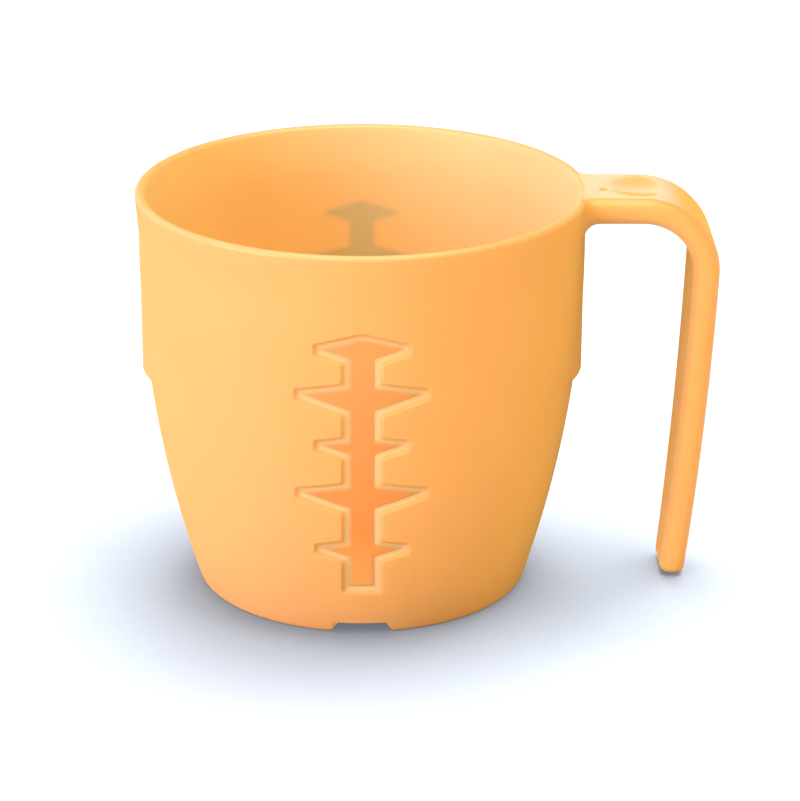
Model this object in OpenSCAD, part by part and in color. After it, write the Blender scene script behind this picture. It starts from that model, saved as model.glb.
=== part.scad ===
// Adaptive drinking mug with an open J handle and two level windows.
// Millimetres, +Z up. The foot stands on z = 0 and Z is the axis of the cup.
// The handle points to +X. One level window faces -Y (front), the other +Y (rear).

/* [Cup] */
// Outer diameter at the lip
rim_d = 87; // [79:1:96]
// Outer diameter where the wall meets the table
foot_d = 64.3; // [56:0.1:72]
// Height of the cup from the table to the top of the lip
cup_h = 79.3; // [72:0.1:90]
// Thickness of the side wall
wall = 1.8; // [1.6:0.1:2.2]
// Thickness of the round lip
lip_t = 1.9; // [1.8:0.1:2]
// Thickness of the floor
floor_t = 2.4; // [1.6:0.1:3]
// How far the lip flares out past the straight band
lip_flare = 0.6; // [0.3:0.1:1.5]
// Height of the flare, up to the middle of the round lip
lip_flare_h = 7.5; // [6:0.5:12]
// Height of the straight band between the flare and the swelling wall
band_h = 2.8; // [2:0.2:6]
// Radius where the inside wall runs into the floor
corner_r = 5; // [3:0.5:7]

/* [Foot] */
// Height of the foot ring under the floor
foot_h = 2.6; // [2:0.1:3.2]
// Width of the flat on which the foot ring stands
foot_flat_w = 2.6; // [2:0.1:4]
// Radius of the outer edge of the foot ring
foot_edge_r = 1.2; // [0.8:0.1:1.8]
// Width of a drain notch at its roof
notch_w = 9.2; // [6:0.2:14]
// Height of a drain notch
notch_h = 1.8; // [1.2:0.1:2]
// How far each side of a drain notch leans out at the table
notch_lean = 1.15; // [0.6:0.05:2]

/* [Stacking lugs] */
// Height of the ledge under each lug, which sits on the lip of the mug below
lug_z = 43; // [36:1:52]
// Radius of the lug's own curve, seen from above
lug_curve_r = 27; // [22:1:34]
// How far the lug's face stays inside the straight band
lug_inset = 0.1; // [0.05:0.05:0.3]
// Chamfer along the lower edge of a lug
lug_chamfer = 0.5; // [0.3:0.1:0.9]

/* [Level windows] */
// Volume from one mark to the next, in millilitres
mark_step = 50; // [40:5:60]
// Least height from the uppermost mark to the middle of the lip
mark_rim_gap = 12; // [10:1:16]
// Height from the inside floor to the foot of the window's spine
spine_foot_gap = 4.4; // [3.4:0.2:7]
// Width of the spine at the outer face of the wall
spine_w = 7.8; // [7:0.2:10]
// Length of the long marks, tip to tip along the wall
long_mark_w = 25.6; // [22:0.2:30]
// Length of the short marks, tip to tip along the wall
short_mark_w = 18.2; // [16:0.2:21]
// Height of a mark at its tip
mark_tip_h = 1.9; // [1.6:0.1:2.4]
// Rise of a mark's upper edge from tip to spine, in degrees
mark_rise = 13; // [8:1:16]
// The same rise on the uppermost mark, which runs up to a rounded peak, in degrees
peak_rise = 17; // [13:1:20]
// Radius of the rounded peak
peak_r = 6; // [4:0.5:8]
// Fall of a mark's lower edge from tip to spine, in degrees
mark_fall = 18; // [14:1:22]
// Depth of the bevelled recess around a window
recess_t = 0.8; // [0.5:0.1:1]
// Width of the bevel around a window
bevel_w = 1.6; // [1.2:0.1:1.8]
// How far the pane widens towards the inside, which locks it in the wall
pane_key = 0.8; // [0.4:0.1:1]

/* [Handle] */
// Clear width for the fingers between the straight band and the leg
finger_gap = 20.5; // [17:0.5:28]
// Width of the bar, which carries the thumb
bar_w = 19.6; // [17:0.2:24]
// Thickness of the bar and the leg
bar_t = 5; // [4:0.2:6]
// How far the top of the bar lies below the top of the lip
bar_drop = 0.1; // [0.1:0.1:0.8]
// Inside radius of the bend
bend_r = 10; // [7:0.5:13]
// Width of the leg at its free end
leg_end_w = 12; // [10:0.5:16]
// Height of the leg's free end above the table
leg_end_z = 0.4; // [0.4:0.2:12]
// Lean of the leg towards the cup where it leaves the bend, in degrees
leg_lean = 2; // [0:0.5:4]
// Radius of the leg's slow inward bow
leg_bow_r = 900; // [600:20:1400]
// Rounding along the edges of the handle
edge_r = 1.7; // [1.2:0.1:1.9]
// Fillet where the bar runs into the cup
root_fillet = 2.6; // [2:0.2:4]
// Diameter of the thumb dish in the bar
dish_d = 11; // [8:0.5:13]
// Depth of the thumb dish
dish_t = 1; // [0.6:0.1:1.3]
// Width of the tongue that locks the handle into the wall
tongue_w = 14; // [10:0.5:16]
// Height of the tongue
tongue_h = 2.4; // [1.8:0.1:2.8]
// Depth of wall left between the tongue and the drink
tongue_cover = 0.8; // [0.6:0.1:1.1]
// Clearance around the tongue
tongue_play = 0.05; // [0.02:0.01:0.1]

/* [Hidden] */

apricot = [1, 0.75, 0.44];
deep_orange = [0.98, 0.6, 0.3];
olive = [0.8, 0.66, 0.42];

// Cuts reach this far past the faces that they open
over = 0.6;
turn_fn = 180;
$fn = turn_fn;

// Shape of the wall: a straight band under a flared lip, and one long arc from the band to the foot
rim_r = rim_d / 2;
foot_r = foot_d / 2;
band_r = rim_r - lip_flare;
lip_r = lip_t / 2;
lip_z = cup_h - lip_r;
flare_z = lip_z - lip_flare_h;
swell_z = flare_z - band_h;
foot_sink = band_r - foot_r;
swell_r = (swell_z * swell_z + foot_sink * foot_sink) / (2 * foot_sink);
swell_x = band_r - swell_r;
floor_z = foot_h + floor_t;

// Radius of the wall at height z, a depth of t below its outer face
function face_r(z, t) =
    z >= flare_z ? band_r - t + lip_flare * (z - flare_z) / lip_flare_h
    : z >= swell_z ? band_r - t
    : swell_x + sqrt(pow(swell_r - t, 2) - pow(swell_z - z, 2));

// Centre of a rounding of radius r that lies inside the arc at depth t and touches the level z
function nook(z, r, t) = [swell_x + sqrt(pow(swell_r - t - r, 2) - pow(swell_z - z - r, 2)), z + r];

foot_nook = nook(0, foot_edge_r, 0);
floor_nook = nook(floor_z, corner_r, wall);
ring_inner_r = foot_nook[0] - foot_flat_w;

// Inside radius at height z below the flare, with the corner at the floor
function hollow_r(z) =
    z < floor_nook[1]
    ? floor_nook[0] + sqrt(max(0, pow(corner_r, 2) - pow(floor_nook[1] - z, 2)))
    : face_r(min(z, flare_z), wall);

// Drink up to height z, in millilitres
slices = 40;
function drink(z) =
    let (dz = (z - floor_z) / slices, rs = [for (i = [0:slices - 1]) hollow_r(floor_z + (i + 0.5) * dz)])
    PI * rs * rs * dz / 1000;

// Height of the surface when the mug holds the given millilitres
function level(ml, low = floor_z, high = cup_h, step = 0) =
    let (middle = (low + high) / 2)
    step == 24 ? middle
    : drink(middle) < ml ? level(ml, middle, high, step + 1)
    : level(ml, low, middle, step + 1);

mark_count = floor(drink(lip_z - mark_rim_gap) / mark_step);
mark_levels = [for (i = [1:mark_count]) level(i * mark_step)];

// Point on the wall: s along the wall from the window's middle line, height z, depth t
function on_wall(s, z, t) =
    let (r = face_r(z, t), a = s / face_r(z, 0) * 180 / PI)
    [r * sin(a), -r * cos(a), z];

// Inset of the window's outline at depth t: a bevel down to the pane, then the pane's key
function bevel_inset(t) = bevel_w * t / recess_t;
function pane_inset(t) = bevel_w - pane_key * (t - recess_t) / (wall - recess_t);

// One mark as [level, half length, rise of its upper edge]; its level line crosses the middle of its root
function mark(i) = [
    mark_levels[i],
    (i % 2 == 1 ? long_mark_w : short_mark_w) / 2,
    i == mark_count - 1 ? peak_rise : mark_rise
];
function tip_z(m) = m[0] + (m[1] - spine_w / 2) * (tan(mark_fall) - tan(m[2])) / 2;

// Upper and lower edge of a mark inset by d, at the distance s from the window's middle line
function upper_z(m, s, d) = tip_z(m) + mark_tip_h / 2 + (m[1] - s) * tan(m[2]) - d / cos(m[2]);
function lower_z(m, s, d) = tip_z(m) - mark_tip_h / 2 - (m[1] - s) * tan(mark_fall) + d / cos(mark_fall);

// Half length of a mark inset by d: its two edges may meet before its tip does
point_h = 0.1;
function mark_reach(m, d) =
    let (pinch = d / cos(m[2]) + d / cos(mark_fall) + point_h - mark_tip_h)
    m[1] - max(d, pinch / (tan(m[2]) + tan(mark_fall)));

// Rounded peak of the uppermost mark inset by d: an arc that touches both slopes of its upper edge
peak_steps = 6;
function peak_stops(m, d) = [
    for (i = [0:peak_steps])
    let (s = max(point_h, (peak_r - d) * sin(peak_rise) * (1 - i / peak_steps)))
    [s, upper_z(m, 0, 0) - peak_r / cos(peak_rise) + sqrt(pow(peak_r - d, 2) - pow(s, 2))]
];

// Outline of a window inset by d, as [half width, height] from the foot of the spine to the peak
spine_foot_z = floor_z + spine_foot_gap;
function window_outline(d) =
    let (side = spine_w / 2 - d)
    concat(
        [[side, spine_foot_z + d]],
        [
            for (i = [0:mark_count - 1])
            let (m = mark(i), reach = mark_reach(m, d))
            each concat(
                [[side, lower_z(m, side, d)], [reach, lower_z(m, reach, d)], [reach, upper_z(m, reach, d)]],
                i < mark_count - 1 ? [[side, upper_z(m, side, d)]] : peak_stops(m, d)
            )
        ]
    );

// A row of points across the window at depth t, for one stop on the outline
row_steps = 8;
function window_row(stop, t) = [
    for (i = [0:row_steps])
    on_wall(stop[0] * (2 * i / row_steps - 1), stop[1], t)
];
function backwards(row) = [for (i = [len(row) - 1:-1:0]) row[i]];

// Closed skin over a row of rings that have the same number of points
module skin(rings) {
    n = len(rings[0]);
    last = len(rings) - 1;
    sides = [
        for (i = [0:last - 1], j = [0:n - 1])
        let (a = i * n + j, b = i * n + (j + 1) % n)
        each [[a, a + n, b + n], [a, b + n, b]]
    ];
    points = [for (ring = rings) each ring];
    polyhedron(points, concat(sides, cap(0, n, false), cap(last * n, n, true)), convexity = 6);
}

// Triangles across a ring of n points that starts at point k
function cap(k, n, far) = [
    for (j = [0:n / 2 - 2])
    let (a = k + j, b = k + n - 1 - j)
    each far ? [[a, b, b - 1], [a, b - 1, a + 1]] : [[a, a + 1, b - 1], [a, b - 1, b]]
];

// Recess and opening of a window in one piece, from outside the wall to inside the cup
module window_cut() {
    outer = window_outline(bevel_inset(-over));
    edge = window_outline(bevel_w);
    inner = window_outline(pane_inset(wall + over));
    skin([
        for (i = [0:len(outer) - 1])
        let (rim = [for (side = [-1, 1]) on_wall(side * edge[i][0], edge[i][1], recess_t)])
        concat(window_row(outer[i], -over), [rim[1]], backwards(window_row(inner[i], wall + over)), [rim[0]])
    ]);
}

// The opening alone, from the foot of the bevel to inside the cup
module window_plug() {
    edge = window_outline(bevel_w);
    inner = window_outline(pane_inset(wall + over));
    skin([
        for (i = [0:len(edge) - 1])
        concat(window_row(edge[i], recess_t), backwards(window_row(inner[i], wall + over)))
    ]);
}

// Points on an arc from angle a to angle b
function arc(middle, r, a, b, steps) = [
    for (i = [0:steps])
    let (turn = a + (b - a) * i / steps)
    middle + r * [cos(turn), sin(turn)]
];

// Half outline of the wall at depth t, from a corner of radius r on the level z to the top of the band
swell_steps = 16;
corner_steps = 6;
lip_steps = 8;
function wall_outline(t, z, r) =
    let (middle = nook(z, r, t), turn = atan2(middle[1] - swell_z, middle[0] - swell_x))
    concat(
        arc(middle, r, -90, turn, corner_steps),
        [for (i = [1:swell_steps]) arc([swell_x, swell_z], swell_r - t, turn, 0, swell_steps)[i]],
        [[band_r - t, flare_z]]
    );

// Everything inside the outer face of the cup
module cup_outside() {
    rotate_extrude($fn = turn_fn)
        polygon(concat(
            [[0, 0]],
            wall_outline(0, 0, foot_edge_r),
            arc([rim_r - lip_r, lip_z], lip_r, 0, 90, lip_steps),
            [[0, cup_h]]
        ));
}

// The space for the drink, open at the top
module drink_space() {
    rotate_extrude($fn = turn_fn)
        polygon(concat(
            [[0, floor_z]],
            wall_outline(wall, floor_z, corner_r),
            arc([rim_r - lip_r, lip_z], lip_r, 180, 90, lip_steps),
            [[rim_r - lip_r, cup_h + over], [0, cup_h + over]]
        ));
}

// Hollow under the floor, with a drafted side
foot_draft = 0.4;
module foot_hollow() {
    translate([0, 0, -over])
        cylinder(h = over, r = ring_inner_r);
    cylinder(h = foot_h, r1 = ring_inner_r, r2 = ring_inner_r - foot_draft);
}

// Drain notch across the foot ring on the -Y side
module drain_notch() {
    roof = notch_w / 2;
    base = roof + notch_lean;
    below = base + notch_lean * over / notch_h;
    translate([0, over - ring_inner_r + foot_draft, 0])
        rotate([90, 0, 0])
            linear_extrude(foot_r - ring_inner_r + foot_draft + 2 * over)
                polygon([[-below, -over], [below, -over], [roof, notch_h], [-roof, notch_h]]);
}

// Lug on the +X side: a tighter curve that stands proud of the tapering wall
module stacking_lug() {
    translate([band_r - lug_inset - lug_curve_r, 0, lug_z]) {
        cylinder(h = lug_chamfer, r1 = lug_curve_r - lug_chamfer, r2 = lug_curve_r);
        translate([0, 0, lug_chamfer])
            cylinder(h = swell_z - lug_z - lug_chamfer, r = lug_curve_r);
    }
}

// Bar, bend and leg of the handle as one path of [x, z, turn, way], turn being the degrees turned from
// level and way the share of the path from the start of the bend to the free end
bar_z = cup_h - bar_drop - bar_t / 2;
bend_x = band_r + finger_gap - bend_r;
bend_mid_r = bend_r + bar_t / 2;
bend_z = bar_z - bend_mid_r;
bend_turn = 90 + leg_lean;
leg_top = [bend_x + bend_mid_r * sin(bend_turn), bend_z + bend_mid_r * cos(bend_turn)];
leg_turn = asin(sin(leg_lean) + (leg_top[1] - leg_end_z) / leg_bow_r) - leg_lean;
bend_len = bend_mid_r * bend_turn * PI / 180;
leg_len = leg_bow_r * leg_turn * PI / 180;
bend_steps = 16;
leg_steps = 14;
end_steps = 4;

// Fillet where the bar runs into the round wall, under the bar and along its two sides: how far a point
// of the bar at [x, y] spreads
root_r = face_r(bar_z - bar_t / 2 - root_fillet, 0);
root_end = root_r + root_fillet;
function root_spread(x, y) =
    let (lean = min(1, (root_end - norm([x, y])) / root_fillet))
    lean <= 0 ? 0 : root_fillet * (1 - sqrt(1 - pow(lean, 2)));

root_start = sqrt(pow(root_r, 2) - pow(bar_w / 2 + root_fillet, 2));
root_steps = 16;
bar_path = [
    for (i = [0:root_steps]) [root_start + (root_end - root_start) * i / root_steps, bar_z, 0, 0]
];
bend_path = [
    for (i = [0:bend_steps])
    let (turn = bend_turn * i / bend_steps)
    [
        bend_x + bend_mid_r * sin(turn),
        bend_z + bend_mid_r * cos(turn),
        turn,
        bend_len * i / bend_steps / (bend_len + leg_len)
    ]
];
function leg_point(along) =
    let (turn = bend_turn + along / leg_bow_r * 180 / PI)
    [
        leg_top[0] + leg_bow_r * (sin(turn) - sin(bend_turn)),
        leg_top[1] + leg_bow_r * (cos(turn) - cos(bend_turn)),
        turn,
        (bend_len + along) / (bend_len + leg_len)
    ];
leg_path = [for (i = [1:leg_steps]) leg_point((leg_len - edge_r) * i / leg_steps)];
end_path = [for (i = [1:end_steps]) leg_point(leg_len - edge_r + edge_r * sin(90 * i / end_steps))];
handle_path = concat([[root_start - wall, bar_z, 0, 0]], bar_path, bend_path, leg_path, end_path);

// Inset of the rounded free end
tip_r = 0.2;
function end_inset(way) =
    let (left = (1 - way) * (bend_len + leg_len))
    left >= edge_r ? 0 : edge_r - sqrt(max(0, pow(edge_r, 2) - pow(edge_r - left, 2)));

// Outer half of the bar's rounded section, each point followed by the direction that its surface faces
edge_steps = 4;
flat_steps = 4;
function half_section(half_w, half_t, r) = concat(
    [
        for (i = [0:edge_steps])
        let (a = 90 * i / edge_steps)
        [half_w - r + r * cos(a), half_t - r + r * sin(a), cos(a), sin(a)]
    ],
    [for (i = [1:flat_steps - 1]) [(half_w - r) * (1 - 2 * i / flat_steps), half_t, 0, 1]],
    [
        for (i = [0:edge_steps])
        let (a = 90 + 90 * i / edge_steps)
        [r - half_w + r * cos(a), half_t - r + r * sin(a), cos(a), sin(a)]
    ]
);

// Rounded cross-section of the handle at a stop on its path, spread by the fillet at the root
function handle_ring(stop) =
    let (
        pinch = end_inset(stop[3]),
        half_w = (bar_w - (bar_w - leg_end_w) * pow(stop[3], 2)) / 2 - pinch,
        half = half_section(half_w, bar_t / 2 - pinch, max(edge_r - pinch, tip_r))
    )
    [
        for (side = [1, -1], p = half)
        let (
            spread = stop[3] == 0 ? root_spread(stop[0], p[0]) : 0,
            y = side * (p[0] + spread * p[2]),
            n = side * p[1] + spread * min(0, side * p[3])
        )
        [stop[0] + n * sin(stop[2]), y, stop[1] + n * cos(stop[2])]
    ];

// Tongue that locks the handle into the wall, grown by the given play
tongue_x = rim_r - wall + tongue_cover;
module tongue(play) {
    translate([tongue_x - play, -tongue_w / 2 - play, bar_z - tongue_h / 2 - play])
        cube([rim_r - tongue_x + over, tongue_w + 2 * play, tongue_h + 2 * play]);
}

// Ball that scoops the thumb dish out of the bar
module thumb_dish() {
    ball_r = (pow(dish_d / 2, 2) + pow(dish_t, 2)) / (2 * dish_t);
    translate([bend_x, 0, bar_z + bar_t / 2 - dish_t + ball_r])
        sphere(r = ball_r);
}

module cup_body() {
    color(apricot)
        difference() {
            union() {
                cup_outside();
                stacking_lug();
                rotate(180)
                    stacking_lug();
            }
            drink_space();
            foot_hollow();
            drain_notch();
            rotate(180)
                drain_notch();
            tongue(tongue_play);
            window_cut();
            rotate(180)
                window_cut();
        }
}

module handle() {
    color(apricot)
        union() {
            difference() {
                skin([for (stop = handle_path) handle_ring(stop)]);
                cup_outside();
                thumb_dish();
            }
            tongue(0);
        }
}

// Pane that fills the front opening, flush with the inside of the cup
module level_pane() {
    difference() {
        window_plug();
        drink_space();
    }
}

module front_level_window() {
    color(deep_orange)
        level_pane();
}

module rear_level_window() {
    color(olive)
        rotate(180)
            level_pane();
}

cup_body();
handle();
front_level_window();
rear_level_window();
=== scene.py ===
import math

import bmesh
import bpy
from mathutils import Matrix, Vector


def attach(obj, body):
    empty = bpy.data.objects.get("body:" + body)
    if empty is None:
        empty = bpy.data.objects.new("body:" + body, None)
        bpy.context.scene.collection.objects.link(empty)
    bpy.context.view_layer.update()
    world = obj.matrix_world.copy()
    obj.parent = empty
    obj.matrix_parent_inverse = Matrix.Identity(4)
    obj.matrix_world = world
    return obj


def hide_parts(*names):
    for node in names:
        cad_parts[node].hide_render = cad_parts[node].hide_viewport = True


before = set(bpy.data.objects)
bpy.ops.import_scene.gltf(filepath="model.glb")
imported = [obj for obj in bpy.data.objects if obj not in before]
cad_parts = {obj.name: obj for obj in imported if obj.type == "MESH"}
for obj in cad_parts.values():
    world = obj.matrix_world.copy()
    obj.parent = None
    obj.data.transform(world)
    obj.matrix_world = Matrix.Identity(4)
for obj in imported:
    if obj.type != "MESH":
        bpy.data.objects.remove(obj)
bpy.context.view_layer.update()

# Sizes of the mug in millimetres; a few small forms are fuller than in the part's source
MM = 0.001
RIM_R = 43.5
FOOT_R = 32.15
CUP_H = 79.3
WALL = 1.8
LIP_T = 1.9
LIP_FLARE = 0.6
LIP_FLARE_H = 7.5
BAND_H = 2.8
CORNER_R = 5.0
FOOT_H = 2.6
FLOOR_Z = 5.0
FOOT_FLAT_W = 2.6
FOOT_EDGE_R = 1.2
FOOT_DRAFT = 0.4
NOTCH_W = 9.2
NOTCH_H = 2.4
NOTCH_LEAN = 1.35
NOTCH_AREA_H = NOTCH_H + 1
LUG_Z = 43.0
LUG_CURVE_R = 27.0
LUG_INSET = 0.1
LUG_CHAMFER = 0.5
LUG_BLEND = 0.25
LEDGE_STEP = 0.04
LEDGE_MARGIN = 0.01

# Level windows: each mark is the height of its level line, half its length and the rise of its upper edge
MARK_RISE = math.radians(10.5)
PEAK_RISE = math.radians(15)
MARK_FALL = math.radians(18)
MARKS = (
    (19.087, 9.1, MARK_RISE), (30.841, 12.8, MARK_RISE), (41.438, 9.1, MARK_RISE),
    (51.377, 12.8, MARK_RISE), (60.962, 9.1, PEAK_RISE),
)
SPINE_W = 7.8
SPINE_FOOT_Z = 9.4
MARK_TIP_H = 2.4
PEAK_R = 6.0
RECESS_T = 0.8
BEVEL_W = 1.6
PANE_KEY = 0.8

# Handle
FINGER_GAP = 20.5
BAR_W = 19.6
BAR_T = 5.0
BAR_DROP = 0.1
BEND_R = 10.0
LEG_END_W = 12.0
LEG_END_Z = 0.4
LEG_LEAN = math.radians(2)
LEG_BOW_R = 900.0
EDGE_R = 2.2
TIP_ROUND = 1.7
ROOT_FILLET = 3.2
DISH_D = 12.4
DISH_T = 0.8
GATE_X = 46.2
GATE_Y = -2.0
GATE_D = 1.8
GATE_T = 0.25

# Shape of the wall: a straight band under a flared lip, and one long arc from the band to the foot
BAND_R = RIM_R - LIP_FLARE
LIP_R = LIP_T / 2
LIP_Z = CUP_H - LIP_R
FLARE_Z = LIP_Z - LIP_FLARE_H
SWELL_Z = FLARE_Z - BAND_H
FOOT_SINK = BAND_R - FOOT_R
SWELL_R = (SWELL_Z ** 2 + FOOT_SINK ** 2) / (2 * FOOT_SINK)
SWELL_X = BAND_R - SWELL_R

# Steps round the cup, the panel of the wall that holds a window, and the radius at which it is drawn flat
TURN_STEPS = 180
TURN_STEP = 2 * math.pi / TURN_STEPS
PANEL_STEPS = 12
PANEL_LOW = 8.8
PANEL_ROWS = 30
ROLL_R = 40.0
HALF_TURN = Matrix.Rotation(math.pi, 3, "Z")

# Distances at which points are merged, and the angles in degrees from which an edge is sharp
MERGE = 0.002
SEAM_MERGE = 0.005
CUT_MERGE = 0.02
CUP_CREASE = 32
GRIP_CREASE = 40


def wall_r(z, depth):
    """Radius of the wall at height z, a depth below its outer face."""
    if z >= FLARE_Z:
        return BAND_R - depth + LIP_FLARE * (z - FLARE_Z) / LIP_FLARE_H
    if z >= SWELL_Z:
        return BAND_R - depth
    return SWELL_X + math.sqrt((SWELL_R - depth) ** 2 - (SWELL_Z - z) ** 2)


def nook(z, r, depth):
    """Centre of a rounding of radius r on the level z inside the wall, and the angle where they meet."""
    x = SWELL_X + math.sqrt((SWELL_R - depth - r) ** 2 - (SWELL_Z - z - r) ** 2)
    return x, z + r, math.atan2(z + r - SWELL_Z, x - SWELL_X)


def arc(x, z, r, start, end, steps):
    """Points on an arc from one angle to another."""
    turns = [start + (end - start) * i / steps for i in range(steps + 1)]
    return [(x + r * math.cos(a), z + r * math.sin(a)) for a in turns]


def soft_max(a, b, blend):
    """The larger of two values, with a rounded change from one to the other."""
    near = max(blend - abs(a - b), 0) / blend
    return max(a, b) + near * near * blend / 4


def with_edges(faces):
    """The given faces together with their vertices and edges, ready to be cut."""
    return list({v for f in faces for v in f.verts} | {e for f in faces for e in f.edges}) + faces


def make_piece(bm, name, crease):
    """Closes a mesh built in millimetres and turns it into a smooth object at the origin, in metres."""
    bmesh.ops.remove_doubles(bm, verts=bm.verts, dist=MERGE)
    bmesh.ops.recalc_face_normals(bm, faces=bm.faces)
    bmesh.ops.scale(bm, vec=(MM, MM, MM), verts=bm.verts)
    mesh = bpy.data.meshes.new(name)
    bm.to_mesh(mesh)
    bm.free()
    mesh.shade_smooth()
    mesh.set_sharp_from_angle(angle=math.radians(crease))
    piece = bpy.data.objects.new(name, mesh)
    bpy.context.scene.collection.objects.link(piece)
    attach(piece, "root")
    return piece


# Loops of numbered vertices, grown by extrusion
def start_loop(bm, points):
    """First loop of a skin, each vertex numbered by its place on the outline."""
    place = bm.verts.layers.int.new("place")
    loop = [bm.verts.new(p) for p in points]
    for i, v in enumerate(loop):
        v[place] = i
    return [bm.edges.new((loop[i - 1], loop[i])) for i in range(len(loop))]


def grow_loop(bm, edges, points):
    """Extrudes a loop and moves the new one to the given points."""
    place = bm.verts.layers.int["place"]
    grown = bmesh.ops.extrude_edge_only(bm, edges=edges)["geom"]
    fresh = {g for g in grown if isinstance(g, bmesh.types.BMVert)}
    for v in fresh:
        v.co = points[v[place]]
    return [g for g in grown if isinstance(g, bmesh.types.BMEdge) and set(g.verts) <= fresh]


def in_order(bm, edges):
    """Vertices of a loop by their place on the outline."""
    place = bm.verts.layers.int["place"]
    return sorted({v for e in edges for v in e.verts}, key=lambda v: v[place])


# Level windows, drawn flat: x along the wall, y the depth below the outer face, z the height
EDGE_ROUND = 0.15
COVE_POWER = 2.2
COVE_INSETS = (-0.07, 0.0, 0.07, 0.15, 0.3, 0.5, 0.75, 1.0, 1.3, BEVEL_W)
# Shares of the painted highlight at insets along the cove
PAINTED_HIGHLIGHT_STRIP = ((0.5, 0.0), (0.75, 0.8), (1.0, 1.0), (1.3, 0.7), (BEVEL_W, 0.3))
PANE_RIM_W = 0.5
PANE_RIM_SHARES = (0.2, 0.45, 0.7, 1.0)
PANE_RISE = 0.08
CLEAR_W = 0.2
CORNER_CUT = 0.45
CORNER_SHARE = 0.4
PEAK_STEPS = 6
POINT_H = 0.1


def cove_depth(inset):
    """Depth of the cove round a window: a rounded upper edge, then steep, then level with its foot."""
    if inset < EDGE_ROUND:
        return cove_depth(EDGE_ROUND) * ((inset + EDGE_ROUND) / (2 * EDGE_ROUND)) ** 2
    return RECESS_T * (1 - (1 - inset / BEVEL_W) ** COVE_POWER)


def rim_depth(inset):
    """Depth of a pane's rounded rim."""
    return RECESS_T - PANE_RISE * (1 - (1 - (inset - BEVEL_W) / PANE_RIM_W) ** 2)


def mark_edges(mark, s, inset):
    """Heights of a mark's lower and upper edge at a distance s from the window's middle line."""
    level, half, rise = mark
    tip = level + (half - SPINE_W / 2) * (math.tan(MARK_FALL) - math.tan(rise)) / 2
    low = tip - MARK_TIP_H / 2 - (half - s) * math.tan(MARK_FALL) + inset / math.cos(MARK_FALL)
    high = tip + MARK_TIP_H / 2 + (half - s) * math.tan(rise) - inset / math.cos(rise)
    return low, high


def window_side(inset):
    """Right side of a window's outline, from the foot of its spine to the top of its rounded peak."""
    side = SPINE_W / 2 - inset
    stops = [(side, SPINE_FOOT_Z + inset)]
    for mark in MARKS:
        half, rise = mark[1:]
        pinch = inset / math.cos(rise) + inset / math.cos(MARK_FALL) + POINT_H - MARK_TIP_H
        reach = half - max(inset, pinch / (math.tan(rise) + math.tan(MARK_FALL)))
        stops.append((side, mark_edges(mark, side, inset)[0]))
        stops += [(reach, z) for z in mark_edges(mark, reach, inset)]
        if mark != MARKS[-1]:
            stops.append((side, mark_edges(mark, side, inset)[1]))
    crown = mark_edges(MARKS[-1], 0, 0)[1] - PEAK_R / math.cos(PEAK_RISE)
    for i in range(PEAK_STEPS + 1):
        s = (PEAK_R - inset) * math.sin(PEAK_RISE) * (1 - i / PEAK_STEPS)
        stops.append((s, crown + math.sqrt((PEAK_R - inset) ** 2 - s ** 2)))
    return stops


def round_corners(flat):
    """Three points in place of each corner of an outline."""
    soft = []
    for i, corner in enumerate(flat):
        before, after = flat[i - 1], flat[(i + 1) % len(flat)]
        start = corner + (before - corner) * min(CORNER_SHARE, CORNER_CUT / (before - corner).length)
        end = corner + (after - corner) * min(CORNER_SHARE, CORNER_CUT / (after - corner).length)
        soft += [start, start / 4 + corner / 2 + end / 4, end]
    return soft[1:] + soft[:1]


def window_loop(inset, depth):
    """Points of a window's whole outline, from the middle of its foot round to its left side."""
    right = window_side(inset)
    flat = [(0, right[0][1])] + right + [(-s, z) for s, z in reversed(right[:-1])]
    soft = round_corners([Vector(p) for p in flat])
    return [Vector((p.x * ROLL_R / wall_r(p.y, 0), depth, p.y)) for p in soft]


def surround(bm, edges, depth):
    """Two flat faces that fill the panel round a loop, one on each side of the middle line."""
    loop = in_order(bm, edges)
    peak = len(loop) // 2
    width = PANEL_STEPS * TURN_STEP * ROLL_R
    foot = bm.verts.new((0, depth, PANEL_LOW))
    head = bm.verts.new((0, depth, FLARE_Z))
    for chain, way in ((loop[:peak + 1], 1), ([loop[0]] + loop[:peak - 1:-1], -1)):
        outer = [bm.verts.new((way * width, depth, z)) for z in (PANEL_LOW, FLARE_Z)]
        bm.faces.new([foot] + outer + [head] + chain[::-1])


def fill_loop(bm, edges):
    """Two flat faces inside a loop, one on each side of the middle line."""
    loop = in_order(bm, edges)
    peak = len(loop) // 2
    bm.faces.new(loop[:peak + 1])
    bm.faces.new([loop[0]] + loop[:peak - 1:-1])


def panel_rows():
    """Heights of the rows of faces in the wall, with close rows at the ledge of the lugs."""
    even = [PANEL_LOW + (FLARE_Z - PANEL_LOW) * i / PANEL_ROWS for i in range(PANEL_ROWS + 1)]
    ledge = [LUG_Z - LEDGE_STEP, LUG_Z, LUG_Z + LUG_CHAMFER / 2, LUG_Z + LUG_CHAMFER]
    return sorted([z for z in even if abs(z - LUG_Z) > 2 * LUG_CHAMFER] + ledge)


def roll_up(bm):
    """Cuts a flat panel into the cup's rows and columns and rolls it onto the front of the wall."""
    columns = [(i * TURN_STEP * ROLL_R, 0, 0) for i in range(1 - PANEL_STEPS, PANEL_STEPS)]
    rows = [(0, 0, z) for z in panel_rows()[1:-1]]
    for cuts, across in ((columns, (1, 0, 0)), (rows, (0, 0, 1))):
        for co in cuts:
            geom = bm.verts[:] + bm.edges[:] + bm.faces[:]
            bmesh.ops.bisect_plane(bm, geom=geom, dist=CUT_MERGE, plane_co=co, plane_no=across)
    for v in bm.verts:
        turn, depth, z = v.co.x / ROLL_R, v.co.y, v.co.z
        r = wall_r(z, depth)
        v.co = Vector((r * math.sin(turn), -r * math.cos(turn), z))


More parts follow.
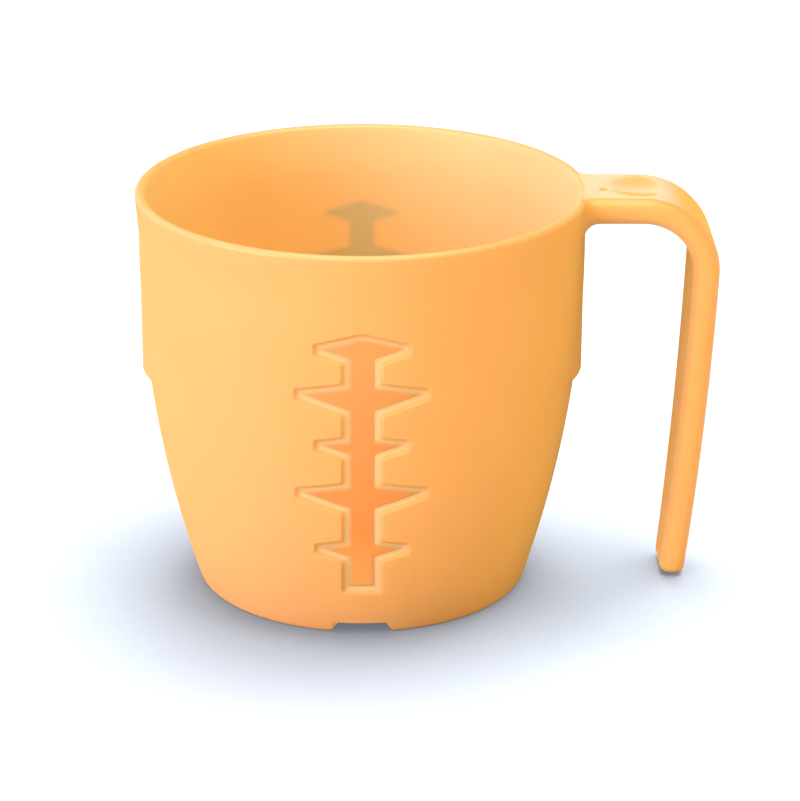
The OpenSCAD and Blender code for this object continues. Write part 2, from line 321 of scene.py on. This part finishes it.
def window_panel():
    """Panel of the wall with a window's coved opening, as a mesh."""
    bm = bmesh.new()
    edges = start_loop(bm, window_loop(-EDGE_ROUND, 0))
    # Painted highlight along the cove, set on each loop
    painted_highlight = bm.verts.layers.float.new("painted_highlight")
    surround(bm, edges, 0)
    for inset in COVE_INSETS:
        edges = grow_loop(bm, edges, window_loop(inset, cove_depth(inset)))
        for v in in_order(bm, edges):
            v[painted_highlight] = dict(PAINTED_HIGHLIGHT_STRIP).get(inset, 0)
    edges = grow_loop(bm, edges, window_loop(BEVEL_W - PANE_KEY, WALL))
    for v in in_order(bm, edges):
        v[painted_highlight] = 0
    surround(bm, edges, WALL)
    roll_up(bm)
    mesh = bpy.data.meshes.new("window_panel")
    bm.to_mesh(mesh)
    bm.free()
    return mesh


def level_pane(name, half_turns):
    """A fishbone pane with a rounded rim that fills a window; its key is the edge behind the wall."""
    bm = bmesh.new()
    border = start_loop(bm, window_loop(BEVEL_W, RECESS_T))
    # The inner face and its clear middle take painted light
    inner = bm.verts.layers.float.new("inner")
    clear = bm.verts.layers.float.new("clear")
    # Painted highlight, fading over the pane's rim
    painted_highlight = bm.verts.layers.float.new("painted_highlight")
    for v in in_order(bm, border):
        v[painted_highlight] = PAINTED_HIGHLIGHT_STRIP[-1][1]
    edges = border
    for share in PANE_RIM_SHARES:
        inset = BEVEL_W + PANE_RIM_W * share
        edges = grow_loop(bm, edges, window_loop(inset, rim_depth(inset)))
        for v in in_order(bm, edges):
            v[painted_highlight] = PAINTED_HIGHLIGHT_STRIP[-1][1] * (1 - share)
    fill_loop(bm, edges)
    edges = border
    for inset in (BEVEL_W - PANE_KEY, BEVEL_W - PANE_KEY / 2, BEVEL_W + CLEAR_W):
        edges = grow_loop(bm, edges, window_loop(inset, WALL))
        for v in in_order(bm, edges):
            v[inner] = 1
            v[painted_highlight] = 0
            v[clear] = (inset - BEVEL_W + PANE_KEY) / (PANE_KEY + CLEAR_W)
    fill_loop(bm, edges)
    roll_up(bm)
    for i in range(half_turns):
        bmesh.ops.rotate(bm, verts=bm.verts, cent=(0, 0, 0), matrix=HALF_TURN)
    return make_piece(bm, name, CUP_CREASE)


# Rows of the half section of the cup; the ring is given from its inner radius
FLAT_RADII = (0, 10, 20)
RING_PROFILE = (
    (-FOOT_DRAFT - 0.4, FOOT_H), (-FOOT_DRAFT, FOOT_H - 0.35), (-0.05, 0.3), (0.1, 0.08), (0.35, 0),
)
FOOT_ROWS = [NOTCH_H, 3.4, 5.2, 7.0]
FLARE_ROWS = [73.4, 76]
FOOT_STEPS = 7
LIP_STEPS = 14
CORNER_STEPS = 9
# Depth into the wall where the inside's painted light starts, and the width of its change
INSIDE_DEPTH = 0.9
INSIDE_CHANGE = 0.7
# Strength of the painted highlight on top of the lip
LIP_PAINTED_HIGHLIGHT = 0.9
FLOOR_MARGIN = 0.1


def cup_outline():
    """Half section of the cup, from the middle of its underside round the lip to the inner floor."""
    foot_x, foot_z, foot_turn = nook(0, FOOT_EDGE_R, 0)
    floor_x, floor_z, floor_turn = nook(FLOOR_Z, CORNER_R, WALL)
    ring_r = foot_x - FOOT_FLAT_W
    rows = panel_rows()
    under = [(r, FOOT_H) for r in FLAT_RADII]
    ring = [(ring_r + off, z) for off, z in RING_PROFILE]
    foot = arc(foot_x, foot_z, FOOT_EDGE_R, -math.pi / 2, foot_turn, FOOT_STEPS)
    outside = [(wall_r(z, 0), z) for z in FOOT_ROWS + rows + FLARE_ROWS]
    lip = arc(RIM_R - LIP_R, LIP_Z, LIP_R, 0, math.pi, LIP_STEPS)
    slope = (BAND_R - WALL - RIM_R + LIP_T) / LIP_FLARE_H
    flare = [(RIM_R - LIP_T + slope * (LIP_Z - z), z) for z in reversed(FLARE_ROWS)]
    inside = [(wall_r(z, WALL), z) for z in reversed(rows)]
    corner = arc(floor_x, floor_z, CORNER_R, floor_turn, -math.pi / 2, CORNER_STEPS)
    bottom = [(r, FLOOR_Z) for r in reversed(FLAT_RADII)]
    return under + ring + foot + outside + lip + flare + inside + corner + bottom


def raise_lugs(bm):
    """Swells the outer wall into the two stacking lugs on the handle side and opposite."""
    middle = BAND_R - LUG_INSET - LUG_CURVE_R
    for v in bm.verts:
        r = math.hypot(v.co.x, v.co.y)
        at_side = LUG_Z - LEDGE_MARGIN < v.co.z < SWELL_Z and abs(v.co.y) <= abs(v.co.x)
        if not at_side or r < wall_r(v.co.z, WALL / 2):
            continue
        chamfer = max(LUG_CHAMFER - (v.co.z - LUG_Z), 0)
        across = middle * v.co.y / r
        lug = middle * abs(v.co.x) / r + math.sqrt((LUG_CURVE_R - chamfer) ** 2 - across ** 2)
        grow = soft_max(r, lug, LUG_BLEND) / r
        v.co.x *= grow
        v.co.y *= grow


def cut_notches(bm):
    """Raises the foot ring into a drain notch under each window."""
    for x in (NOTCH_W / 2, NOTCH_W / 2 + NOTCH_LEAN):
        for side in (-x, x):
            low = [f for f in bm.faces if f.calc_center_median().z < NOTCH_AREA_H]
            bmesh.ops.bisect_plane(
                bm, geom=with_edges(low), dist=CUT_MERGE, plane_co=(side, 0, 0), plane_no=(1, 0, 0),
            )
    for v in bm.verts:
        if v.co.z < NOTCH_H and abs(v.co.y) > FOOT_R / 2:
            lean = (NOTCH_W / 2 + NOTCH_LEAN - abs(v.co.x)) / NOTCH_LEAN
            v.co.z = max(v.co.z, NOTCH_H * min(max(lean, 0), 1))


def mark_inside(bm):
    """Marks the inside of the cup, which takes painted light, with a soft change over the lip, and a
    painted highlight on top of the lip.
    """
    inside = bm.verts.layers.float.new("inside")
    painted_highlight = bm.verts.layers.float["painted_highlight"]
    for v in bm.verts:
        if v.co.z > LIP_Z:
            v[painted_highlight] = LIP_PAINTED_HIGHLIGHT * (v.co.z - LIP_Z) / LIP_R
        if v.co.z > FLOOR_Z - FLOOR_MARGIN:
            depth = wall_r(v.co.z, 0) - math.hypot(v.co.x, v.co.y)
            v[inside] = min(max((depth - INSIDE_DEPTH) / INSIDE_CHANGE, 0), 1)


def cup():
    """The apricot cup: wall, lip, floor, foot ring, lugs and the two window openings."""
    bm = bmesh.new()
    # Layer for the painted highlight on the lip and round the windows
    bm.verts.layers.float.new("painted_highlight")
    line = [bm.verts.new((r, 0, z)) for r, z in cup_outline()]
    for a, b in zip(line, line[1:]):
        bm.edges.new((a, b))
    bmesh.ops.spin(
        bm, geom=bm.verts[:] + bm.edges[:], cent=(0, 0, 0), axis=(0, 0, 1), angle=2 * math.pi,
        steps=TURN_STEPS, use_merge=True,
    )
    bmesh.ops.remove_doubles(bm, verts=bm.verts, dist=MERGE)
    panel_turn = PANEL_STEPS * TURN_STEP
    opened = []
    for f in bm.faces:
        c = f.calc_center_median()
        if PANEL_LOW < c.z < FLARE_Z and abs(math.atan2(c.x, abs(c.y))) < panel_turn:
            opened.append(f)
    bmesh.ops.delete(bm, geom=opened, context="FACES")
    panel = window_panel()
    bm.from_mesh(panel)
    bmesh.ops.rotate(bm, verts=bm.verts, cent=(0, 0, 0), matrix=HALF_TURN)
    bm.from_mesh(panel)
    bpy.data.meshes.remove(panel)
    bmesh.ops.remove_doubles(bm, verts=bm.verts, dist=SEAM_MERGE)
    raise_lugs(bm)
    cut_notches(bm)
    mark_inside(bm)
    return make_piece(bm, "cup", CUP_CREASE)


# Path of the handle in its middle plane: bar, bend and a slowly bowed leg
BAR_Z = CUP_H - BAR_DROP - BAR_T / 2
BEND_X = BAND_R + FINGER_GAP - BEND_R
BEND_MID_R = BEND_R + BAR_T / 2
BEND_Z = BAR_Z - BEND_MID_R
BEND_TURN = math.pi / 2 + LEG_LEAN
LEG_TOP_X = BEND_X + BEND_MID_R * math.sin(BEND_TURN)
LEG_TOP_Z = BEND_Z + BEND_MID_R * math.cos(BEND_TURN)
LEG_TURN = math.asin(math.sin(LEG_LEAN) + (LEG_TOP_Z - LEG_END_Z) / LEG_BOW_R) - LEG_LEAN
BOW_X = LEG_TOP_X - LEG_BOW_R * math.sin(BEND_TURN)
BOW_Z = LEG_TOP_Z - LEG_BOW_R * math.cos(BEND_TURN)
BEND_LEN = BEND_MID_R * BEND_TURN
LEG_LEN = LEG_BOW_R * LEG_TURN
ROOT_END = wall_r(BAR_Z - BAR_T / 2 - ROOT_FILLET, 0) + ROOT_FILLET
ROOT_SEAT_R = RIM_R - LIP_R
ROOT_RISE_LEN = 5.0
ROOT_SINK = 0.5
BAR_SHARES = (0.75, 0.5, 0.25)
ROOT_STEP = 0.25
ROOT_STEPS = 26
TIP_R = 0.2
TIP_STEPS = 6
EDGE_STEPS = 6
FLAT_STEPS = 10
BEND_STEPS = 36
LEG_STEPS = 24
DISH_CELL = 0.35
DISH_CELLS_BEFORE = 25
DISH_CELLS_AFTER = 22
DISH_CELLS_ASIDE = 22
DISH_AREA = 10
DISH_FACING = 0.3
DISH_REACH = 1.3


def bar_ring(half_w, half_t, r):
    """Rounded section of the handle: distances sideways and outwards, and the way each point faces."""
    turns = [math.pi / 2 * i / EDGE_STEPS for i in range(EDGE_STEPS + 1)]
    half = [(half_w - r + r * math.cos(a), half_t - r + r * math.sin(a), a) for a in turns]
    half += [((half_w - r) * (1 - 2 * i / FLAT_STEPS), half_t, math.pi / 2) for i in range(1, FLAT_STEPS)]
    half += [(r - half_w - r * math.sin(a), half_t - r + r * math.cos(a), a + math.pi / 2) for a in turns]
    return half + [(-y, -n, a + math.pi) for y, n, a in half]


def root_spread(x, y, a):
    """How far the fillet at the root spreads a point of the bar that faces the way a."""
    out = abs(y) + ROOT_FILLET * abs(math.cos(a))
    reach = math.sqrt(1 - (math.cos(a) * out / ROOT_END) ** 2)
    lean = min((math.sqrt(ROOT_END ** 2 - out ** 2) - x) / ROOT_FILLET, reach)
    return ROOT_FILLET * (1 - math.sqrt(1 - lean ** 2)) if lean > 0 else 0


def leg_half_w(share):
    """Half width of the handle at a share of the way from the start of the bend to the free end."""
    return (BAR_W - (BAR_W - LEG_END_W) * share ** 2) / 2


def path_share(x, z):
    """Share of the way from the start of the bend to the free end of the leg."""
    turn = math.atan2(x - BEND_X, z - BEND_Z)
    if turn <= BEND_TURN:
        return max(BEND_MID_R * turn, 0) / (BEND_LEN + LEG_LEN)
    turn = math.atan2(x - BOW_X, z - BOW_Z) - BEND_TURN
    return (BEND_LEN + LEG_BOW_R * turn) / (BEND_LEN + LEG_LEN)


def taper_leg(bm):
    """Narrows the flat of the bend and the leg towards the free end and keeps the rounded edges."""
    flat = BAR_W / 2 - EDGE_R
    for v in bm.verts:
        narrow = leg_half_w(path_share(v.co.x, v.co.z)) - EDGE_R
        if abs(v.co.y) <= flat:
            v.co.y *= narrow / flat
        else:
            v.co.y -= math.copysign(flat - narrow, v.co.y)


def round_tip(bm, edges):
    """Closes the free end of the leg with a rounded edge."""
    for i in range(1, TIP_STEPS + 1):
        lean = math.pi / 2 * i / TIP_STEPS
        pinch = TIP_ROUND * (1 - math.cos(lean))
        along = LEG_LEN - TIP_ROUND * (1 - math.sin(lean))
        turn = BEND_TURN + along / LEG_BOW_R
        half_w = leg_half_w((BEND_LEN + along) / (BEND_LEN + LEG_LEN)) - pinch
        ring = bar_ring(half_w, BAR_T / 2 - pinch, max(EDGE_R - pinch, TIP_R))
        points = []
        for y, n, _ in ring:
            r = LEG_BOW_R + n
            points.append(Vector((BOW_X + r * math.sin(turn), y, BOW_Z + r * math.cos(turn))))
        edges = grow_loop(bm, edges, points)
    bm.faces.new(in_order(bm, edges))


def grow_root(bm, edges):
    """Leads the bar to the lip with a fillet at its sides and underside, and ends it in the wall."""
    stations = [ROOT_END + (BEND_X - ROOT_END) * share for share in BAR_SHARES]
    stations += [ROOT_END - ROOT_STEP * i for i in range(ROOT_STEPS)]
    for station in stations:
        points = []
        for y, n, a in bar_ring(BAR_W / 2, BAR_T / 2, EDGE_R):
            seat = min(wall_r(BAR_Z + n + ROOT_FILLET * min(math.sin(a), 0), ROOT_SINK), ROOT_SEAT_R)
            x = max(station, math.sqrt(seat ** 2 - (abs(y) + ROOT_FILLET * abs(math.cos(a))) ** 2))
            spread = root_spread(x, y, a)
            rise = BAR_DROP * max(1 - (math.hypot(x, y) - ROOT_SEAT_R) / ROOT_RISE_LEN, 0) if n > 0 else 0
            z = BAR_Z + n + rise + spread * min(math.sin(a), 0)
            points.append(Vector((x, y + spread * math.cos(a), z)))
        edges = grow_loop(bm, edges, points)
    end = in_order(bm, edges)
    upper = set(end[:len(end) // 2])
    strips = [e for e in edges if len(upper & set(e.verts)) != 1]
    bmesh.ops.bridge_loops(bm, edges=strips)


def press_dish(bm):
    """Presses the thumb dish and the small round mark of the mould's gate into the top of the bar."""
    along = [(BEND_X + i * DISH_CELL, 0, 0) for i in range(-DISH_CELLS_BEFORE, DISH_CELLS_AFTER + 1)]
    across = [(0, i * DISH_CELL, 0) for i in range(-DISH_CELLS_ASIDE, DISH_CELLS_ASIDE + 1)]
    for cuts, way in ((along, (1, 0, 0)), (across, (0, 1, 0))):
        for co in cuts:
            near = [f for f in bm.faces if abs(f.calc_center_median().x - BEND_X) < DISH_AREA]
            top = [f for f in near if f.normal.z > DISH_FACING]
            bmesh.ops.bisect_plane(bm, geom=with_edges(top), dist=CUT_MERGE, plane_co=co, plane_no=way)
    top_z = BAR_Z + BAR_T / 2
    for x, y, wide, deep in ((BEND_X, 0, DISH_D, DISH_T), (GATE_X, GATE_Y, GATE_D, GATE_T)):
        for v in bm.verts:
            off = 2 * math.hypot(v.co.x - x, v.co.y - y) / wide
            if v.co.z > BAR_Z and off < DISH_REACH:
                v.co.z = -soft_max(-v.co.z, deep * (1 - off ** 2) - top_z, deep / 3)


def handle():
    """The open J handle: a swept bar with rounded edges, a filleted root and a thumb dish."""
    bm = bmesh.new()
    ring = bar_ring(BAR_W / 2, BAR_T / 2, EDGE_R)
    start = start_loop(bm, [(BEND_X, y, BAR_Z + n) for y, n, _ in ring])
    bend = bmesh.ops.spin(
        bm, geom=bm.verts[:] + start, cent=(BEND_X, 0, BEND_Z), axis=(0, 1, 0), angle=BEND_TURN,
        steps=BEND_STEPS,
    )["geom_last"]
    leg = bmesh.ops.spin(
        bm, geom=bend, cent=(BOW_X, 0, BOW_Z), axis=(0, 1, 0), angle=LEG_TURN - TIP_ROUND / LEG_BOW_R,
        steps=LEG_STEPS,
    )["geom_last"]
    taper_leg(bm)
    round_tip(bm, [g for g in leg if isinstance(g, bmesh.types.BMEdge)])
    grow_root(bm, start)
    bmesh.ops.remove_doubles(bm, verts=bm.verts, dist=MERGE)
    bmesh.ops.recalc_face_normals(bm, faces=bm.faces)
    press_dish(bm)
    return make_piece(bm, "grip", GRIP_CREASE)


# Materials
def node(tree, kind, **values):
    """A shader node with the given settings; names that are inputs are set as inputs."""
    n = tree.nodes.new(kind)
    for key, value in values.items():
        if key in n.inputs:
            n.inputs[key].default_value = value
        else:
            setattr(n, key, value)
    return n


def moulded_skin():
    """Group for moulded plastic: a cloudy colour, a roughness and a fine grain, read from the piece."""
    tree = bpy.data.node_groups.new("moulded_skin", "ShaderNodeTree")
    for name, kind, way in (
        ("Color", "NodeSocketColor", "INPUT"), ("Cloud", "NodeSocketFloat", "INPUT"),
        ("Gloss", "NodeSocketFloat", "INPUT"), ("Color", "NodeSocketColor", "OUTPUT"),
        ("Roughness", "NodeSocketFloat", "OUTPUT"), ("Grain", "NodeSocketFloat", "OUTPUT"),
    ):
        tree.interface.new_socket(name, in_out=way, socket_type=kind)
    link = tree.links.new
    into, out = tree.nodes.new("NodeGroupInput"), tree.nodes.new("NodeGroupOutput")
    where = tree.nodes.new("ShaderNodeTexCoord")
    cloud = node(tree, "ShaderNodeTexNoise", Scale=55.0, Detail=3.0, Roughness=0.5)
    grain = node(tree, "ShaderNodeTexNoise", Scale=2600.0, Detail=2.0, Roughness=0.6)
    for n in (cloud, grain):
        link(where.outputs["Object"], n.inputs["Vector"])
    sway = node(
        tree, "ShaderNodeMapRange",
        **{"From Min": 0.3, "From Max": 0.7, "To Min": -1.0, "To Max": 1.0},
    )
    link(cloud.outputs["Fac"], sway.inputs["Value"])
    amount = node(tree, "ShaderNodeMath", operation="MULTIPLY_ADD")
    link(sway.outputs["Result"], amount.inputs[0])
    link(into.outputs["Cloud"], amount.inputs[1])
    amount.inputs[2].default_value = 1.0
    tint = node(tree, "ShaderNodeHueSaturation", Hue=0.5, Saturation=1.0)
    link(amount.outputs[0], tint.inputs["Value"])
    link(into.outputs["Color"], tint.inputs["Color"])
    link(tint.outputs["Color"], out.inputs["Color"])
    rough = node(tree, "ShaderNodeMath", operation="MULTIPLY_ADD")
    link(sway.outputs["Result"], rough.inputs[0])
    rough.inputs[1].default_value = 0.03
    link(into.outputs["Gloss"], rough.inputs[2])
    link(rough.outputs[0], out.inputs["Roughness"])
    link(grain.outputs["Fac"], out.inputs["Grain"])
    return tree


def bounce_mix(tree, seen, bounced):
    """Mixes the colour that the eye sees with the duller one by which a face lights its surroundings."""
    path = node(tree, "ShaderNodeLightPath")
    mix = node(tree, "ShaderNodeMix", data_type="RGBA")
    mix.inputs["B"].default_value = bounced
    tree.links.new(path.outputs["Is Diffuse Ray"], mix.inputs["Factor"])
    tree.links.new(seen, mix.inputs["A"])
    return mix


def plastic(name, skin, color, gloss, fade):
    """Moulded plastic that shines less at its edges; returns it and its inputs for colour and bounce."""
    made = bpy.data.materials.new(name)
    made.use_nodes = True
    tree = made.node_tree
    shader = tree.nodes["Principled BSDF"]
    shader.inputs["IOR"].default_value = PLASTIC_IOR
    shader.inputs["Specular Tint"].default_value = WARM_SHINE
    shader.inputs["Specular IOR Level"].default_value = SHINE
    shader.inputs["Subsurface Weight"].default_value = 0.3
    shader.inputs["Subsurface Radius"].default_value = (1.0, 0.5, 0.2)
    shader.inputs["Subsurface Scale"].default_value = 0.0012
    group = node(tree, "ShaderNodeGroup", node_tree=skin)
    group.inputs["Color"].default_value = color
    group.inputs["Cloud"].default_value = 0.02
    group.inputs["Gloss"].default_value = gloss
    bump = node(tree, "ShaderNodeBump", Strength=0.08, Distance=0.0002)
    edge = node(tree, "ShaderNodeLayerWeight", Blend=0.5)
    shine = node(
        tree, "ShaderNodeMapRange", interpolation_type="SMOOTHSTEP",
        **{"From Min": fade, "From Max": fade + FADE_W, "To Min": SHINE, "To Max": 0.0},
    )
    tree.links.new(edge.outputs["Facing"], shine.inputs["Value"])
    tree.links.new(shine.outputs["Result"], shader.inputs["Specular IOR Level"])
    seen = bounce_mix(tree, group.outputs["Color"], OUTER_BOUNCE)
    tree.links.new(seen.outputs["Result"], shader.inputs["Base Color"])
    tree.links.new(group.outputs["Roughness"], shader.inputs["Roughness"])
    tree.links.new(group.outputs["Grain"], bump.inputs["Height"])
    tree.links.new(bump.outputs["Normal"], shader.inputs["Normal"])
    return made, group.inputs["Color"], seen.inputs["B"]


def blend_by(tree, attribute, first, second):
    """Mixes two colours by an attribute of the mesh; a colour may be fixed or come from a node."""
    share = node(tree, "ShaderNodeAttribute", attribute_name=attribute)
    mix = node(tree, "ShaderNodeMix", data_type="RGBA")
    tree.links.new(share.outputs["Fac"], mix.inputs["Factor"])
    for name, color in (("A", first), ("B", second)):
        if isinstance(color, bpy.types.NodeSocket):
            tree.links.new(color, mix.inputs[name])
        else:
            mix.inputs[name].default_value = color
    return mix.outputs["Result"]


def cup_plastic(name, skin):
    """Apricot plastic with painted light: paler on the inside, painted as light coming through the wall,
    and a painted highlight on the window coves and the lip.
    """
    made, color, bounce = plastic(name, skin, APRICOT, CUP_GLOSS, FADE_START)
    tree = made.node_tree
    body = blend_by(tree, "inside", APRICOT, PAINTED_LIGHT_APRICOT)
    tree.links.new(blend_by(tree, "painted_highlight", body, PAINTED_HIGHLIGHT_CREAM), color)
    tree.links.new(blend_by(tree, "inside", OUTER_BOUNCE, INNER_BOUNCE), bounce)
    return made


def window_plastic(name, skin):
    """Second-shot plastic with painted light: deep orange outside, painted as the lit inside showing
    through, in tones by height; olive on the inner face, painted as light from outside showing through.
    """
    made, color, bounce = plastic(name, skin, APRICOT, PANE_GLOSS, FADE_START)
    tree = made.node_tree
    link = tree.links.new
    where = node(tree, "ShaderNodeTexCoord")
    split = node(tree, "ShaderNodeSeparateXYZ")
    link(where.outputs["Object"], split.inputs["Vector"])
    height = node(tree, "ShaderNodeMapRange", **{"From Min": PANE_LOW, "From Max": PANE_HIGH})
    link(split.outputs["Z"], height.inputs["Value"])
    # Painted glow of the lit inside showing through the pane, changing by height
    outside = node(tree, "ShaderNodeValToRGB")
    ramp = outside.color_ramp
    ramp.elements[0].color = PANE_FOOT_PAINTED_GLOW
    ramp.elements[1].color = PANE_PEAK_PAINTED_GLOW
    for place, tone in PANE_MID_PAINTED_GLOW:
        ramp.elements.new(place).color = tone
    link(height.outputs["Result"], outside.inputs["Fac"])
    # Inner face: painted light near its edge, changing to the painted olive of light from outside showing
    # through
    inside = blend_by(tree, "clear", PAINTED_LIGHT_APRICOT, PAINTED_SHOW_THROUGH_OLIVE)
    front = blend_by(tree, "painted_highlight", outside.outputs["Color"], PAINTED_HIGHLIGHT_CREAM)
    link(blend_by(tree, "inner", front, inside), color)
    link(blend_by(tree, "inner", OUTER_BOUNCE, INNER_BOUNCE), bounce)
    return made


def floor_paper():
    """Plain pale paper under the mug, which throws less light back onto it than the eye sees."""
    made = bpy.data.materials.new("pale_paper")
    made.use_nodes = True
    tree = made.node_tree
    shader = tree.nodes["Principled BSDF"]
    shader.inputs["Roughness"].default_value = 0.6
    where = node(tree, "ShaderNodeTexCoord")
    fibre = node(tree, "ShaderNodeTexNoise", Scale=400.0, Detail=2.0)
    tree.links.new(where.outputs["Object"], fibre.inputs["Vector"])
    shade = node(tree, "ShaderNodeValToRGB")
    for stop, tone in zip(shade.color_ramp.elements, PAPER):
        stop.color = tone
    tree.links.new(fibre.outputs["Fac"], shade.inputs["Fac"])
    seen = bounce_mix(tree, shade.outputs["Color"], PAPER_BOUNCE)
    tree.links.new(seen.outputs["Result"], shader.inputs["Base Color"])
    return made


# Lights, and what each piece is given
def soft_light(name, place, aim, size, power, lit, color=(1, 1, 1), shadow=True, diffuse=True, gloss=True):
    """A soft box aimed at a place that lights one collection, with or without shadow or highlights."""
    lamp = bpy.data.lights.new(name, "AREA")
    lamp.shape = "RECTANGLE"
    lamp.size, lamp.size_y = size
    lamp.energy = power
    lamp.color = color
    lamp.use_shadow = shadow
    box = bpy.data.objects.new(name, lamp)
    box.light_linking.receiver_collection = lit
    box.visible_diffuse = diffuse
    box.visible_glossy = gloss
    box.location = place
    box.rotation_euler = (Vector(aim) - Vector(place)).to_track_quat("-Z", "Y").to_euler()
    bpy.context.scene.collection.objects.link(box)


def studio_sky(strength):
    """Nearly white light from all round."""
    world = bpy.data.worlds.new("studio")
    world.use_nodes = True
    sky = world.node_tree.nodes["Background"]
    sky.inputs["Color"].default_value = SKY
    sky.inputs["Strength"].default_value = strength
    bpy.context.scene.world = world


def dress(piece, material, replaced):
    """Gives a piece its material and lights, and hides the part of the model that it replaces."""
    piece.data.materials.append(material)
    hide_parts(replaced)
    lit_mug.objects.link(piece)


# Colours, roughness and shine of the plastics, where the shine fades, and the light each face throws back
APRICOT = (0.97, 0.41, 0.088, 1)
# Painted light: the inside of the cup and the inner edge of the panes, paler as if lit through the wall
PAINTED_LIGHT_APRICOT = (0.99, 0.60, 0.175, 1)
# Painted highlight on the coves, the pane rims and the lip
PAINTED_HIGHLIGHT_CREAM = (0.98, 0.50, 0.15, 1)
WARM_SHINE = (1.0, 0.7, 0.35, 1)
PLASTIC_IOR = 1.49
SHINE = 0.35
FADE_W = 0.32
FADE_START = 0.2
GRIP_FADE_START = 0.5
CUP_GLOSS = 0.36
PANE_GLOSS = 0.32
GRIP_GLOSS = 0.42
OUTER_BOUNCE = (0.07, 0.055, 0.04, 1)
INNER_BOUNCE = (0.97, 0.64, 0.27, 1)
# Painted olive of light from outside showing through the panes' inner face
PAINTED_SHOW_THROUGH_OLIVE = (0.66, 0.53, 0.19, 1)
# Painted glow of the lit inside showing through the panes, in tones by height
PANE_FOOT_PAINTED_GLOW = (0.97, 0.40, 0.07, 1)
PANE_MID_PAINTED_GLOW = ((0.25, (0.97, 0.27, 0.04, 1)), (0.6, (0.91, 0.295, 0.055, 1)))
PANE_PEAK_PAINTED_GLOW = (0.92, 0.33, 0.07, 1)
PANE_LOW = 0.009
PANE_HIGH = 0.066
PAPER = ((0.51, 0.56, 0.66, 1), (0.53, 0.58, 0.68, 1))
PAPER_BOUNCE = (0.4, 0.41, 0.43, 1)
SKY = (1.0, 0.97, 0.86, 1)

# The four pieces, each in place of its solid
skin = moulded_skin()
lit_mug = bpy.data.collections.new("lit_mug")
lit_grip = bpy.data.collections.new("lit_grip")
lit_floor = bpy.data.collections.new("lit_floor")
pane_plastic = window_plastic("orange_window_plastic", skin)
dress(cup(), cup_plastic("apricot_cup_plastic", skin), "cup_body")
grip = handle()
grip_plastic = plastic("apricot_grip_plastic", skin, APRICOT, GRIP_GLOSS, GRIP_FADE_START)[0]
dress(grip, grip_plastic, "handle")
lit_grip.objects.link(grip)
dress(level_pane("front_pane", 0), pane_plastic, "front_level_window")
dress(level_pane("rear_pane", 1), pane_plastic, "rear_level_window")

# Pale floor
FLOOR_HALF_W = 3.0
bm = bmesh.new()
bmesh.ops.create_grid(bm, x_segments=4, y_segments=4, size=FLOOR_HALF_W)
floor_mesh = bpy.data.meshes.new("floor")
bm.to_mesh(floor_mesh)
bm.free()
floor_mesh.materials.append(floor_paper())
floor = bpy.data.objects.new("floor", floor_mesh)
bpy.context.scene.collection.objects.link(floor)
lit_floor.objects.link(floor)

# Light: nearly white all round, and soft boxes on the mug, on the handle and over the floor
studio_sky(0.7)
MUG_MIDDLE = (0, 0, 0.04)
BAR_MIDDLE = (0.058, 0, 0.079)
LEG_MIDDLE = (0.066, 0, 0.04)
FLOOR_MIDDLE = (0, 0, 0)
OVERHEAD = (0.13, 0.28, 2.0)
COOL = (0.96, 0.97, 2.3)
HALF_COOL = (1, 1, 1.5)
soft_light("key", (-0.96, -0.66, 0.34), MUG_MIDDLE, (0.8, 0.8), 13.0, lit_mug, COOL)
soft_light("top", (0.25, -0.55, 1.05), MUG_MIDDLE, (0.7, 0.7), 5.2, lit_mug)
soft_light("back", (0.0, 1.3, 0.26), MUG_MIDDLE, (0.9, 0.48), 7.0, lit_mug, HALF_COOL)
soft_light("right", (1.1, 0.15, 0.45), MUG_MIDDLE, (0.5, 0.5), 1.3, lit_mug)
soft_light("bar_top", (0.15, 0.75, 0.8), BAR_MIDDLE, (0.3, 0.3), 3.0, lit_grip, gloss=False)
soft_light("shine", (0.06, -0.1, 1.1), MUG_MIDDLE, (0.9, 0.9), 20.0, lit_mug, diffuse=False)
soft_light("side", (-1.0, -0.55, 0.25), LEG_MIDDLE, (0.3, 0.3), 4.6, lit_grip, shadow=False)
soft_light("floor_glow", OVERHEAD, FLOOR_MIDDLE, (1.4, 1.4), 63.0, lit_floor)
soft_light("floor_fill", OVERHEAD, FLOOR_MIDDLE, (1.4, 1.4), 16.0, lit_floor, shadow=False)
bpy.context.scene.view_settings.view_transform = "Standard"

# Camera as in the photograph: long lens, a little above the mug, straight at the front window
PHOTO_SIDE = 801
SENSOR_W = 36
LENS_PIXELS = 3200
MUG_LEFT_PIXELS = 38.03
LOOK_UP = math.radians(21.04)
LOOK_FAR = 0.62887
LOOK_AT_Z = 0.03524
lens = bpy.data.cameras.new("photo_lens")
lens.sensor_width = SENSOR_W
lens.lens = SENSOR_W * LENS_PIXELS / PHOTO_SIDE
lens.shift_x = MUG_LEFT_PIXELS / PHOTO_SIDE
camera = bpy.data.objects.new("photo_camera", lens)
camera.location = (0, -LOOK_FAR * math.cos(LOOK_UP), LOOK_AT_Z + LOOK_FAR * math.sin(LOOK_UP))
camera.rotation_euler = (math.pi / 2 - LOOK_UP, 0, 0)
bpy.context.scene.collection.objects.link(camera)
bpy.context.scene.camera = camera
